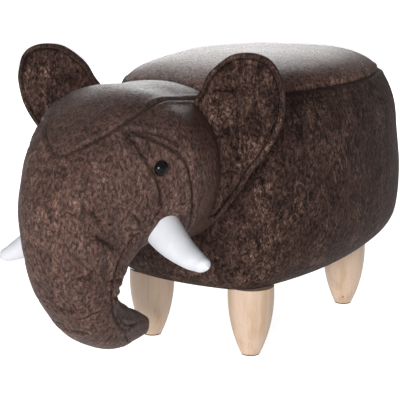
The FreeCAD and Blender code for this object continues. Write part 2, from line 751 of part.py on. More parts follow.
ear_depth_shares = ((-0.5, 1.0), (-0.32, 0.3), (0.0, 0.0), (0.32, 0.3), (0.5, 1.0))
ear_seat = Vector(size("ear_axis_out"), body_front - size("ear_axis_forward"), size("ear_axis_height"))
ear_turn = Rotation(Vector(0, 0, 1), ear_sweep_angle) * Rotation(Vector(1, 0, 0), ear_lean_angle)
ear_axis = ear_turn.multVec(Vector(0, 0, 1))
print("left ear hinge at", ear_seat, "along", ear_axis)


def ear_form(inset):
    wires = []
    for depth, roll in ear_depth_shares:
        wires.append(ear_outline(inset + roll * size("ear_edge_roll"), depth * (size("ear_thickness") - 2 * inset)))
    form = Part.makeLoft(wires, True, False)
    form.Placement = Placement(ear_seat, ear_turn)
    return form


def ear_half(sign):
    reach = 4 * size("ear_lobe_radius")
    low = Vector(-reach, 0 if sign > 0 else -reach, -reach)
    half = block(low, low + Vector(2 * reach, reach, 2 * reach))
    half.Placement = Placement(ear_seat, ear_turn)
    return half


ear_swing_steps = 4
swing = ear_forward_angle + ear_back_angle
ear_keep_out = []
for step in range(ear_swing_steps + 1):
    angle = ear_forward_angle - step * swing / ear_swing_steps
    turned = head_form(-size("ear_clearance"))
    turned.rotate(ear_seat, ear_axis, angle)
    ear_keep_out.append(turned)


def clear_of_head(shape):
    for space in ear_keep_out:
        shape = shape.cut(space)
    return shape


ear_skin = size("ear_skin_thickness")
ear_shell = clear_of_head(ear_form(0).cut(ear_form(ear_skin)))
ear_pieces = {"ear_front": ear_shell.common(ear_half(-1)), "ear_back": ear_shell.common(ear_half(1)),
              "ear_wadding": clear_of_head(ear_form(ear_skin + gap))}
right_seat = Vector(-ear_seat.x, ear_seat.y, ear_seat.z)
right_axis = Vector(ear_axis.x, -ear_axis.y, -ear_axis.z)
for name, shape in ear_pieces.items():
    shape_node(name + "_left", shape)
    mirrored = shape.mirror(Vector(0, 0, 0), Vector(1, 0, 0))
    mirrored.rotate(right_seat, right_axis, -right_ear_rest_angle)
    shape_node(name + "_right", mirrored)

# Every object is checked before anything is written
doc.recompute()
for obj in doc.Objects:
    if "Invalid" in obj.State or "Error" in obj.State:
        raise RuntimeError("failed object: " + obj.Label)
for label, obj in nodes.items():
    if obj.Shape.isNull() or not obj.Shape.isValid() or not obj.Shape.Solids:
        raise RuntimeError("bad shape: " + label)
    print(label, len(obj.Shape.Solids), round(obj.Shape.Volume))

os.makedirs("parts", exist_ok=True)
for label, obj in nodes.items():
    obj.Shape.exportStep("parts/%s.step" % label)
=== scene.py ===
import math
import bpy
import numpy as np
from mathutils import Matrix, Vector
from mathutils.bvhtree import BVHTree
from mathutils.kdtree import KDTree


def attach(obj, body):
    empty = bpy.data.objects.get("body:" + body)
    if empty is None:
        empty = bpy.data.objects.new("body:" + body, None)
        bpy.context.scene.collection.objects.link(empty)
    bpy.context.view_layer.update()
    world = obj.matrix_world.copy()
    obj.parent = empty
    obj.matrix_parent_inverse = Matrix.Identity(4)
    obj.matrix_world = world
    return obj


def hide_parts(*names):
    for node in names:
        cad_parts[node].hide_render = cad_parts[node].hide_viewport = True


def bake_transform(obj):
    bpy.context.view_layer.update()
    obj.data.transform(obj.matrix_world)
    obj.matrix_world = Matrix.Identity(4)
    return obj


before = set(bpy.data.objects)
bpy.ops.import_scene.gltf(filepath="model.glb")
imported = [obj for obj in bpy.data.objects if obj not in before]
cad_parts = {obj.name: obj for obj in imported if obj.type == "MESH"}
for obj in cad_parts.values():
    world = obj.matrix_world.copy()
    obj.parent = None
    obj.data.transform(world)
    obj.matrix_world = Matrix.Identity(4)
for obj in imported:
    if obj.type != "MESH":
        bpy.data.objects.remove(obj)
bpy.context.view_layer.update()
scene = bpy.context.scene
mm = 0.001


# Curves and meshes


def throughRows(knots, rows, spots):  # smooth curve through rows of values
    knots, rows, spots = np.asarray(knots, float), np.asarray(rows, float), np.asarray(spots, float)
    slopes = np.gradient(rows, knots, axis=0)
    low = np.clip(np.searchsorted(knots, spots, side="right") - 1, 0, len(knots) - 2)
    width = (knots[low + 1] - knots[low])[:, None]
    t = (spots - knots[low])[:, None] / width
    return ((1 + 2 * t) * (1 - t) ** 2 * rows[low] + t * (1 - t) ** 2 * width * slopes[low]
            + t * t * (3 - 2 * t) * rows[low + 1] + t * t * (t - 1) * width * slopes[low + 1])


def lengthsAlong(points):
    return np.r_[0, np.cumsum(np.linalg.norm(np.diff(points, axis=0), axis=1))]


def smoothLine(points, count):  # evenly spaced points on a smooth line
    points = np.asarray(points, float)
    knots = lengthsAlong(points)
    return throughRows(knots, points, np.linspace(0, knots[-1], count))


def makeObject(name, verts, faces, edges=()):
    mesh = bpy.data.meshes.new(name)
    mesh.from_pydata([tuple(v) for v in verts], edges, faces)
    mesh.polygons.foreach_set("use_smooth", [True] * len(mesh.polygons))
    mesh.update()
    made = bpy.data.objects.new(name, mesh)
    scene.collection.objects.link(made)
    return made


def ringFaces(rows, around, flip=False):
    faces = []
    for r in range(rows - 1):
        for a in range(around):
            b = (a + 1) % around
            quad = (r * around + a, r * around + b, (r + 1) * around + b, (r + 1) * around + a)
            faces.append(quad[::-1] if flip else quad)
    return faces


def capFaces(first, around, flip=False):  # quads straight across a closed ring
    last = first + around - 1
    faces = [(first + i, first + i + 1, last - 1 - i, last - i) for i in range(around // 2 - 1)]
    return [face[::-1] for face in faces] if flip else faces


def spotsOf(piece):
    found = np.zeros(len(piece.data.vertices) * 3)
    piece.data.vertices.foreach_get("co", found)
    return found.reshape(-1, 3)


def normalsOf(piece):
    found = np.zeros(len(piece.data.vertices) * 3)
    piece.data.vertices.foreach_get("normal", found)
    return found.reshape(-1, 3)


def moveSpots(piece, spots):
    piece.data.vertices.foreach_set("co", np.asarray(spots, np.float32).ravel())
    piece.data.update()


def subdivide(piece, levels):
    layer = piece.modifiers.new("finer", "SUBSURF")
    layer.levels = layer.render_levels = levels
    bakeModifiers(piece)


def bakeModifiers(piece):
    graph = bpy.context.evaluated_depsgraph_get()
    old = piece.data
    piece.data = bpy.data.meshes.new_from_object(piece.evaluated_get(graph))
    piece.modifiers.clear()
    bpy.data.meshes.remove(old)
    piece.data.name = piece.name


def distanceTo(spots, line, step=0.0005, reach=0.03):  # distance to a line of points, up to reach
    lengths = lengthsAlong(line)
    fine = np.linspace(0, lengths[-1], int(lengths[-1] / step) + 2)
    tree = KDTree(len(fine))
    for i, p in enumerate(np.column_stack([np.interp(fine, lengths, axis) for axis in line.T])):
        tree.insert(p, i)
    tree.balance()
    away = np.full(len(spots), reach)
    close = np.all((spots > line.min(0) - reach) & (spots < line.max(0) + reach), axis=1)
    for i in np.nonzero(close)[0]:
        away[i] = min(reach, tree.find(spots[i])[2])
    return away


def roughly(spots, scale, seed, waves=18):  # smooth wavy noise at each spot, about -1 to 1
    random = np.random.default_rng(seed)
    turns = random.normal(size=(waves, 3))
    turns *= (random.uniform(0.5, 1.5, waves) / np.linalg.norm(turns, axis=1))[:, None]
    return np.sin(spots @ (turns.T * scale * 2) + random.uniform(0, 6.28, waves)).sum(1) / math.sqrt(waves)


def ripples(spots, waves):  # scale, seed and height of each wave
    return sum(roughly(spots, scale, seed) * height for scale, seed, height in waves)


def onSurface(piece, line):
    tree = BVHTree.FromObject(piece, bpy.context.evaluated_depsgraph_get())
    return np.array([tree.find_nearest(Vector(p))[0] for p in line])


def setAttributes(piece, **named):
    for name, values in named.items():
        layer = piece.data.attributes.get(name) or piece.data.attributes.new(name, "FLOAT", "POINT")
        layer.data.foreach_set("value", np.zeros(len(layer.data), np.float32) + np.asarray(values, np.float32))


def seamShadow(away, width):  # painted shade beside a seam, in creases and in the ears' rim groove, darkest at the line
    return 0.85 * np.exp(-(away / width) ** 2)


# Stuffing: cloth held at its seams and pushed out from inside


def stuff(piece, held, pressure, growth, cap, frames=20):
    start = spotsOf(piece)
    group = piece.vertex_groups.new(name="held")
    steps = 10
    for level in range(1, steps + 1):
        chosen = np.nonzero(np.round(held * steps) == level)[0]
        group.add([int(i) for i in chosen], level / steps, "REPLACE")
    cloth = piece.modifiers.new("stuffed", "CLOTH")
    settings = cloth.settings
    settings.quality = 5
    settings.mass = 0.3
    settings.tension_stiffness = settings.compression_stiffness = 25
    settings.shear_stiffness = 8
    settings.bending_stiffness = 0.4
    settings.use_pressure = True
    settings.uniform_pressure_force = pressure
    settings.shrink_min = -growth
    settings.vertex_group_mass = "held"
    settings.effector_weights.gravity = 0
    cloth.collision_settings.use_collision = False
    cloth.point_cache.frame_start, cloth.point_cache.frame_end = 1, frames
    for step in range(1, frames + 1):
        scene.frame_set(step)
    settled = piece.evaluated_get(bpy.context.evaluated_depsgraph_get())
    moved = np.zeros(len(start) * 3)
    settled.data.vertices.foreach_get("co", moved)
    move = moved.reshape(-1, 3) - start
    length = np.linalg.norm(move, axis=1)
    move *= (np.tanh(length / cap) * cap / np.maximum(length, 1e-9))[:, None]
    piece.modifiers.clear()
    piece.vertex_groups.clear()
    moveSpots(piece, start + move)
    scene.frame_set(1)
    print("stuffed", piece.name, "moved mm", round(float(length.max()) / mm, 1))


# Shader nodes


def put(tree, kind, inputs=None, **settings):
    made = tree.nodes.new(kind)
    for key, value in settings.items():
        setattr(made, key, value)
    for key, value in (inputs or {}).items():
        if isinstance(value, bpy.types.NodeSocket):
            tree.links.new(value, made.inputs[key])
        else:
            made.inputs[key].default_value = value
    return made


def sums(tree, operation, a, b=0.0, c=0.0):
    return put(tree, "ShaderNodeMath", {0: a, 1: b, 2: c}, operation=operation).outputs[0]


def mixed(tree, share, a, b):
    return put(tree, "ShaderNodeMix", {0: share, 6: a, 7: b}, data_type="RGBA").outputs[2]


def ranged(tree, value, low, high, toLow=0.0, toHigh=1.0):
    return put(tree, "ShaderNodeMapRange", {0: value, 1: low, 2: high, 3: toLow, 4: toHigh},
               interpolation_type="SMOOTHSTEP").outputs[0]


def newGroup(name, inputs, outputs):
    tree = bpy.data.node_groups.new(name, "ShaderNodeTree")
    for label, kind, value in inputs:
        socket = tree.interface.new_socket(label, in_out="INPUT", socket_type=kind)
        if value is not None:
            socket.default_value = value
    for label, kind in outputs:
        tree.interface.new_socket(label, in_out="OUTPUT", socket_type=kind)
    return tree, tree.nodes.new("NodeGroupInput"), tree.nodes.new("NodeGroupOutput")


def noiseAt(tree, vector, scale, detail=3.0, rough=0.55):
    return put(tree, "ShaderNodeTexNoise", {"Vector": vector, "Scale": scale, "Detail": detail,
                                            "Roughness": rough}).outputs[0]


# marks of the hide: size as a share of its scale, then the noise levels or the width where a mark shows
hideMarks = {
    "uneven": (0.42, 0.38, 0.58), "rubbed": (0.8, 0.43, 0.58), "stained": (0.7, 0.47, 0.60),
    "patches": (2.3, 0.44, 0.57), "specks": (5.0, 0.50, 0.57), "clouds": (1.9, 0.51, 0.58),
    "cracks": (6.4, 0.11), "fineCracks": (12.5, 0.18), "veins": (2.2, 0.020), "fineVeins": (4.6, 0.026),
    "grain": 9.0, "pebble": (17.0, 0.3), "drawn": (1.0, 1.0, 0.62), "bend": (2.4, 0.007),
}


def wornHideGroup():  # rubbed patches, cracks, dark specks and pebble grain of worn brown hide
    inputs = [("Vector", "NodeSocketVector", None), ("Scale", "NodeSocketFloat", 36.0),
              ("Wear", "NodeSocketFloat", 0.7)]
    outputs = [(label, "NodeSocketFloat") for label in ("Dark", "Pale", "Grain", "Height")]
    tree, given, out = newGroup("wornHide", inputs, outputs)
    marks, givenWear = hideMarks, given.outputs["Wear"]

    def at(share):
        return sums(tree, "MULTIPLY", given.outputs["Scale"], share)

    def times(first, *others):
        return sums(tree, "MULTIPLY", first, times(*others)) if others else first

    def noise(size, detail=5.0, rough=0.62):
        return noiseAt(tree, vector, at(size), detail, rough)

    def edges(size):
        return put(tree, "ShaderNodeTexVoronoi", {"Vector": vector, "Scale": at(size)},
                   feature="DISTANCE_TO_EDGE").outputs["Distance"]

    def mark(name, detail=5.0, rough=0.62, least=0.0):
        size, low, high = marks[name]
        return ranged(tree, noise(size, detail, rough), low, high, least)

    def crack(name):
        size, width = marks[name]
        return ranged(tree, edges(size), width, 0.0)

    def vein(name):
        size, width = marks[name]
        return ranged(tree, sums(tree, "ABSOLUTE", sums(tree, "SUBTRACT", noise(size), 0.5)), width, 0.0)

    def atLeast(least, value):
        return ranged(tree, value, 0.0, 1.0, least, 1.0)

    def without(value, share):
        return sums(tree, "MULTIPLY_ADD", value, -share, 1.0)

    bendSize, bendBy = marks["bend"]
    drawn = put(tree, "ShaderNodeVectorMath", {0: given.outputs["Vector"], 1: marks["drawn"]},
                operation="MULTIPLY").outputs[0]
    bend = put(tree, "ShaderNodeTexNoise", {"Vector": drawn, "Scale": at(bendSize), "Detail": 3.0}).outputs["Color"]
    shift = put(tree, "ShaderNodeVectorMath", {0: bend, "Scale": bendBy}, operation="SCALE").outputs[0]
    vector = put(tree, "ShaderNodeVectorMath", {0: drawn, 1: shift}, operation="ADD").outputs[0]
    wear = times(givenWear, mark("uneven", 3.0, least=0.4))
    rubbed, stained = mark("rubbed"), mark("stained", 4.0)
    cracks, fineCracks = crack("cracks"), crack("fineCracks")
    pale = times(mark("patches", 8.0, 0.76), atLeast(0.25, rubbed), without(cracks, 0.85), without(fineCracks, 0.5))
    veins = sums(tree, "MAXIMUM", times(vein("veins"), 0.75), times(vein("fineVeins"), 0.55))
    pale = times(sums(tree, "MAXIMUM", pale, times(veins, atLeast(0.4, rubbed))), wear)
    clouds = times(mark("clouds", 8.0, 0.74), 0.85)
    dark = times(sums(tree, "MAXIMUM", clouds, times(cracks, rubbed, 0.7)), wear)
    specks = times(mark("specks", 5.0, 0.7), atLeast(0.3, stained))
    speckShare = sums(tree, "MULTIPLY_ADD", givenWear, 0.5, 0.4)
    dark = sums(tree, "MAXIMUM", dark, times(specks, speckShare))
    pebbleSize, pebbleWide = marks["pebble"]
    pebble = ranged(tree, edges(pebbleSize), 0.0, pebbleWide)
    grain = noise(marks["grain"], 3.0, 0.6)
    height = sums(tree, "MULTIPLY_ADD", pebble, 0.35, times(grain, 0.5))
    height = sums(tree, "MULTIPLY_ADD", pale, 0.25, height)
    height = sums(tree, "MULTIPLY_ADD", times(cracks, wear), -0.5, height)
    for label, value in (("Dark", dark), ("Pale", pale), ("Grain", grain), ("Height", height)):
        tree.links.new(value, out.inputs[label])
    return tree


woodGrain = {"stretch": 14.0, "streak": 95.0, "fleck": 620.0, "fleckFrom": (0.55, 0.75)}


def longGrainGroup():  # streaks along Z of plain sawn and turned wood
    inputs = [("Vector", "NodeSocketVector", None), ("Stretch", "NodeSocketFloat", woodGrain["stretch"])]
    tree, given, out = newGroup("longGrain", inputs, [("Streak", "NodeSocketFloat"), ("Fleck", "NodeSocketFloat")])
    apart = put(tree, "ShaderNodeSeparateXYZ", {0: given.outputs["Vector"]}).outputs
    along = sums(tree, "DIVIDE", apart[2], given.outputs["Stretch"])
    squeezed = put(tree, "ShaderNodeCombineXYZ", {0: apart[0], 1: apart[1], 2: along}).outputs[0]
    streak = noiseAt(tree, squeezed, woodGrain["streak"], 4.0, 0.6)
    fleck = ranged(tree, noiseAt(tree, squeezed, woodGrain["fleck"], 2.0), *woodGrain["fleckFrom"])
    tree.links.new(streak, out.inputs["Streak"])
    tree.links.new(fleck, out.inputs["Fleck"])
    return tree


hideGroup, woodGroup = wornHideGroup(), longGrainGroup()


def newMaterial(name, **sockets):
    made = bpy.data.materials.new(name)
    made.use_nodes = True
    tree = made.node_tree
    shader = tree.nodes["Principled BSDF"]
    for label, value in sockets.items():
        shader.inputs[label.replace("_", " ")].default_value = value
    return made, tree, shader


def bumpInto(tree, shader, height, strength, distance):
    bump = put(tree, "ShaderNodeBump", {"Height": height, "Strength": strength, "Distance": distance})
    tree.links.new(bump.outputs[0], shader.inputs["Normal"])


# seam is the near-black of the painted shade along seams and in creases
hideLook = {
    "dark": (0.0125, 0.0072, 0.0064, 1), "brown": (0.064, 0.0345, 0.0280, 1), "pale": (0.250, 0.148, 0.114, 1),
    "seam": (0.006, 0.0035, 0.003, 1), "darkShare": 0.85, "scale": 36.0, "grain": (0.35, 1.65), "bump": (0.9, 0.0013),
    "roughness": (0.40, 0.56), "shine": (0.17, 0.05),  # unworn and worn
}


def hideMaterial():
    look = hideLook
    made, tree, shader = newMaterial("wornBrownHide")

    def painted(name):
        return put(tree, "ShaderNodeAttribute", attribute_name=name).outputs["Fac"]

    place = put(tree, "ShaderNodeTexCoord").outputs["Object"]
    shift, wear = painted("panelShift"), painted("hideWear")
    shifts = put(tree, "ShaderNodeCombineXYZ", {0: shift, 1: shift, 2: shift}).outputs[0]
    moved = put(tree, "ShaderNodeVectorMath", {0: place, 1: shifts}, operation="ADD").outputs[0]
    worn = put(tree, "ShaderNodeGroup", {"Vector": moved, "Scale": look["scale"], "Wear": wear},
               node_tree=hideGroup).outputs
    colour = mixed(tree, worn["Pale"], look["brown"], look["pale"])
    colour = mixed(tree, sums(tree, "MULTIPLY", worn["Dark"], look["darkShare"]), colour, look["dark"])
    # the per-piece tone scales the colour: partly the hides' own tone, partly painted light and shade
    grain = sums(tree, "MULTIPLY", ranged(tree, worn["Grain"], 0.3, 0.7, *look["grain"]), painted("hideTone"))
    colour = put(tree, "ShaderNodeVectorMath", {0: colour, "Scale": grain}, operation="SCALE").outputs[0]
    # painted shade along seams, in creases and in the ears' rim groove
    colour = mixed(tree, painted("seamShade"), colour, look["seam"])
    tree.links.new(colour, shader.inputs["Base Color"])
    tree.links.new(ranged(tree, wear, 0, 1, *look["roughness"]), shader.inputs["Roughness"])
    tree.links.new(ranged(tree, wear, 0, 1, *look["shine"]), shader.inputs["Specular IOR Level"])
    bumpInto(tree, shader, worn["Height"], *look["bump"])
    return made


woodLook = {"pale": (0.61, 0.449, 0.337, 1), "streak": (0.51, 0.35, 0.229, 1), "fleck": (0.41, 0.26, 0.157, 1)}
knotLook = {"colour": (0.16, 0.065, 0.028, 1), "edge": (0.0075, 0.0045), "ragScale": 240.0, "rag": 0.004}


def shaded(colour, share):
    return tuple(v * share for v in colour[:3]) + (1,)


def woodMaterial(name, tone=1.0, knot=None):
    made, tree, shader = newMaterial(name, Roughness=0.42, Coat_Weight=0.12, Coat_Roughness=0.3)
    place = put(tree, "ShaderNodeTexCoord").outputs["Object"]
    grain = put(tree, "ShaderNodeGroup", {"Vector": place}, node_tree=woodGroup).outputs
    pale, streak, fleck = [shaded(woodLook[key], tone) for key in ("pale", "streak", "fleck")]
    colour = mixed(tree, ranged(tree, grain["Streak"], 0.42, 0.68), pale, streak)
    colour = mixed(tree, sums(tree, "MULTIPLY", grain["Fleck"], 0.35), colour, fleck)
    if knot:
        away = put(tree, "ShaderNodeVectorMath", {0: place, 1: knot}, operation="DISTANCE").outputs["Value"]
        rag = sums(tree, "MULTIPLY", noiseAt(tree, place, knotLook["ragScale"]), knotLook["rag"])
        inside = ranged(tree, sums(tree, "ADD", away, rag), *knotLook["edge"])
        colour = mixed(tree, inside, colour, knotLook["colour"])
    tree.links.new(colour, shader.inputs["Base Color"])
    bumpInto(tree, shader, grain["Streak"], 0.15, 0.0006)
    return made


def clothMaterial(name, pale, deep, scale, rough, strength):
    made, tree, shader = newMaterial(name, Roughness=rough)
    place = put(tree, "ShaderNodeTexCoord").outputs["Object"]
    weave = noiseAt(tree, place, scale, 3.0)
    broad = noiseAt(tree, place, scale * 0.03, 3.0)
    tree.links.new(mixed(tree, ranged(tree, broad, 0.3, 0.7), pale, deep), shader.inputs["Base Color"])
    bumpInto(tree, shader, weave, strength, 0.0006)
    return made


def metalMaterial(name, colour, rough):
    made, tree, shader = newMaterial(name, Metallic=1.0)
    place = put(tree, "ShaderNodeTexCoord").outputs["Object"]
    dull = noiseAt(tree, place, 180.0, 4.0)
    tree.links.new(mixed(tree, dull, colour, shaded(colour, 0.6)), shader.inputs["Base Color"])
    tree.links.new(ranged(tree, dull, 0.2, 0.8, rough, rough + 0.2), shader.inputs["Roughness"])
    return made


def glossMaterial(name, colour, rough, shine):
    made, tree, shader = newMaterial(name, Specular_IOR_Level=shine)
    place = put(tree, "ShaderNodeTexCoord").outputs["Object"]
    cloud = noiseAt(tree, place, 300.0, 2.0)
    tree.links.new(mixed(tree, cloud, colour, shaded(colour, 1.5)), shader.inputs["Base Color"])
    tree.links.new(ranged(tree, cloud, 0, 1, rough, rough + 0.05), shader.inputs["Roughness"])
    return made


brownHide = hideMaterial()
whiteHide = clothMaterial("whiteTuskHide", pale=(0.67, 0.68, 0.71, 1), deep=(0.59, 0.60, 0.64, 1),
                          scale=1500.0, rough=0.5, strength=0.12)
beech = woodMaterial("lacqueredBeech")
knottedBeech = woodMaterial("knottedBeech", knot=(0.0825, 0.2185, 0.010))
plywood = woodMaterial("sawnPlywood", tone=0.8)
felt = clothMaterial("greyFelt", pale=(0.055, 0.053, 0.052, 1), deep=(0.03, 0.029, 0.028, 1),
                     scale=2600.0, rough=0.95, strength=0.5)
dustCloth = clothMaterial("blackDustCloth", pale=(0.018, 0.018, 0.019, 1), deep=(0.010, 0.010, 0.011, 1),
                          scale=1900.0, rough=0.9, strength=0.5)
thread = clothMaterial("darkThread", pale=(0.030, 0.018, 0.014, 1), deep=(0.055, 0.034, 0.026, 1),
                       scale=3000.0, rough=0.8, strength=0.4)
zinc = metalMaterial("zincPlate", (0.62, 0.61, 0.58, 1), rough=0.3)
eyeBlack = glossMaterial("eyeBlack", (0.0022, 0.0018, 0.0018, 1), rough=0.05, shine=0.16)
washerWhite = glossMaterial("washerPlastic", (0.62, 0.62, 0.60, 1), rough=0.4, shine=0.4)


def dress(piece, material):
    piece.data.materials.clear()
    piece.data.materials.append(material)


# Padded body

bodyForm = {
    "width": 0.337, "length": 0.4245, "setback": 0.11325, "bottom": 0.088, "seam": 0.328, "crown": 0.032,
    "cornerShare": 0.42, "sideSteps": 24, "cornerSteps": 20, "endSteps": 15, "start": 0.0025,
    # wall, bottom to seam: height, width and length as shares, then the bow of the outline
    "wall": [(0.0, 0.678, 0.827, 2.6), (0.05, 0.803, 0.897, 2.6), (0.15, 0.94, 0.933, 2.3), (0.28, 0.992, 0.974, 2.0),
             (0.45, 1.0, 1.0, 1.9), (0.68, 0.971, 0.996, 1.9), (0.88, 0.923, 0.978, 1.9), (1.0, 0.832, 0.932, 1.9)],
    # top, seam to middle: height and size as shares
    "top": [(0.0, 1.0), (0.42, 0.906), (0.78, 0.684), (0.95, 0.459), (1.0, 0.28), (1.01, 0.02)],
    "wallRows": 52, "wallCrowding": 1.15, "topRows": 34, "topTurn": (0.5, 1),
    "hemRows": 5, "hem": (0.092, 0.152), "hemLift": 0.0001,
    "ripples": [(16, 3, 0.0004), (38, 9, 0.0003)], "rippleFade": 0.02, "hemFlat": 0.003,
    "wornBesideSeam": 0.018, "shadowWidth": 0.0012,
}


def bowedOutline(halfAcross, halfAlong, bow, height):
    form = bodyForm
    corner = form["cornerShare"] * halfAcross
    sideRadius, endRadius = bow * halfAlong, bow * halfAcross
    side, end = halfAcross - sideRadius, halfAlong - endRadius
    reachSide, reachEnd = sideRadius - corner, endRadius - corner
    span = math.hypot(side, end)
    along = (reachSide ** 2 - reachEnd ** 2 + span ** 2) / (2 * span)
    off = math.sqrt(reachSide ** 2 - along ** 2)
    stepX, stepY = -side / span, end / span
    cornerX, cornerY = side + stepX * along - stepY * off, stepY * along + stepX * off
    first, last = math.atan2(cornerY, cornerX - side), math.atan2(cornerY - end, cornerX)

    def arc(x, y, radius, start, stop, steps, closed=False):
        return [(x + radius * math.cos(a), y + radius * math.sin(a)) for a in np.linspace(start, stop, steps, closed)]

    quarter = arc(side, 0, sideRadius, 0, first, form["sideSteps"])
    quarter += arc(cornerX, cornerY, corner, first, last, form["cornerSteps"])
    quarter += arc(0, end, endRadius, last, math.pi / 2, form["endSteps"] + 1, True)
    quarter = np.array(quarter)
    half = np.vstack([quarter, (quarter * (-1, 1))[-2::-1]])
    ring = np.vstack([half, (half * (1, -1))[-2:0:-1]])
    return np.column_stack([ring[:, 0], form["setback"] + ring[:, 1], np.full(len(ring), height)])


def bodyRows():
    form = bodyForm
    wall, top, hem = np.array(form["wall"]), np.array(form["top"]), np.array(form["hem"])
    whole = np.array([form["width"], form["length"]])
    ups = np.linspace(0, 1, form["wallRows"]) ** form["wallCrowding"]
    shares = throughRows(wall[:, 0], wall[:, 1:], ups)
    inset = form["start"]
    rows = []
    for k in np.linspace(0, 1, form["hemRows"], False):  # folded under, up to the dust cloth
        size = hem + (wall[0, 1:3] * whole / 2 - inset - hem) * k
        rows.append(bowedOutline(*size, wall[0, 3], form["bottom"] + form["hemLift"]))
    for up, (wide, long, bow) in zip(ups, shares):
        height = form["bottom"] + up * (form["seam"] - form["bottom"])
        rows.append(bowedOutline(wide * form["width"] / 2 - inset, long * form["length"] / 2 - inset, bow, height))
    seamRow = len(rows) - 1
    turn = lengthsAlong(top * form["topTurn"])
    for up, share in throughRows(turn, top, np.linspace(0, turn[-1], form["topRows"])[1:]):
        size = share * wall[-1, 1:3] * whole / 2 - inset * min(1, share * 2)
        rows.append(bowedOutline(*size, wall[-1, 3], form["seam"] + up * (form["crown"] - inset)))
    return rows, seamRow


def makeBody():
    rows, seamRow = bodyRows()
    around = len(rows[0])
    verts = np.vstack(rows)
    faces = ringFaces(len(rows), around)
    faces += capFaces((len(rows) - 1) * around, around)
    body = makeObject("body_form", verts, faces)
    row = np.repeat(np.arange(len(rows)), around)
    held = np.where((row == seamRow) | (row <= bodyForm["hemRows"]), 1.0, 0.0)
    stuff(body, held, pressure=600, growth=0.004, cap=0.005)
    return body, seamRow, around


def splitBody(body, seamRow, around):
    spots = spotsOf(body)
    seamFirst, below = seamRow * around, (seamRow + 1) * around
    faces = [tuple(p.vertices) for p in body.data.polygons]
    side = makeObject("side_cover_hide", spots[:below], [face for face in faces if max(face) < below])
    topFaces = [tuple(v - seamFirst for v in face) for face in faces if min(face) >= seamFirst]
    seat = makeObject("seat_cover_hide", spots[seamFirst:], topFaces)
    seamLine = spots[seamFirst:below]
    bpy.data.objects.remove(body)
    return side, seat, np.vstack([seamLine, seamLine[:1]])


# shares of a fold's width, and of its length at each end
foldForm = {"fade": 0.3, "groove": 0.42, "bankAt": 1.3, "bankWide": 0.8, "bankHigh": 0.65, "shadow": 0.26}


def pressFolds(piece, folds, lumps, shade):  # soft creases with painted shade along them that fade out at both ends, and round lumps
    form = foldForm
    spots, normals = spotsOf(piece), normalsOf(piece)
    push = np.zeros(len(spots))
    for height, radius, place in lumps:
        push += height * mm * np.exp(-(np.linalg.norm(spots / mm - place, axis=1) / radius) ** 2)
    for depth, width, points in folds:
        line = onSurface(piece, smoothLine(np.array(points) * mm, 30))
        ends = np.linalg.norm(spots[:, None] - line[[0, -1]], axis=2).min(1)
        fade = np.clip(ends / (lengthsAlong(line)[-1] * form["fade"]), 0, 1)
        away = distanceTo(spots, line) / (width * mm)
        bank = form["bankHigh"] * np.exp(-((away - form["bankAt"]) / form["bankWide"]) ** 2)
        push += fade * depth * mm * (bank - np.exp(-(away / form["groove"]) ** 2))
        shade = np.maximum(shade, fade * seamShadow(away, form["shadow"]))
    moveSpots(piece, spots + normals * push[:, None])
    return shade


def tuckSeam(piece, lines, depth, width, ridge):  # groove along a seam, with a small ridge beside it
    spots = spotsOf(piece)
    away = np.min([distanceTo(spots, line) for line in lines], axis=0)
    ridgeAt = 2.6 * width
    push = -depth * np.exp(-(away / width) ** 2) + ridge * np.exp(-((away - ridgeAt) / width) ** 2)
    moveSpots(piece, spots + normalsOf(piece) * push[:, None])
    return away


body, seamRow, around = makeBody()
sideCover, seatCover, topSeam = splitBody(body, seamRow, around)
# tone scales each cover's colour; the seat's 2.1 lifts its brown as a painted sheen across the top
for cover, shift, tone, wear in ((sideCover, 0.0, 0.70, 1.0), (seatCover, 3.1, 2.1, 0.12)):
    subdivide(cover, 1)
    away = tuckSeam(cover, [topSeam], depth=0.0022, width=0.0028, ridge=0.0009)
    spots = spotsOf(cover)
    aboveHem = spots[:, 2] - bodyForm["bottom"] - bodyForm["hemFlat"]
    free = np.clip(away / bodyForm["rippleFade"], 0, 1) * np.clip(aboveHem / bodyForm["rippleFade"], 0, 1)
    moveSpots(cover, spots + normalsOf(cover) * (ripples(spots, bodyForm["ripples"]) * free)[:, None])
    worn = wear + (1 - wear) * np.exp(-(away / bodyForm["wornBesideSeam"]) ** 2)
    setAttributes(cover, panelShift=shift, hideTone=tone, hideWear=worn,
                  seamShade=seamShadow(away, bodyForm["shadowWidth"]))
    dress(cover, brownHide)
    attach(cover, "stool")
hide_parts("side_cover", "side_foam")
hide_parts("seat_cover", "seat_foam")
print("body done")

# Head and trunk

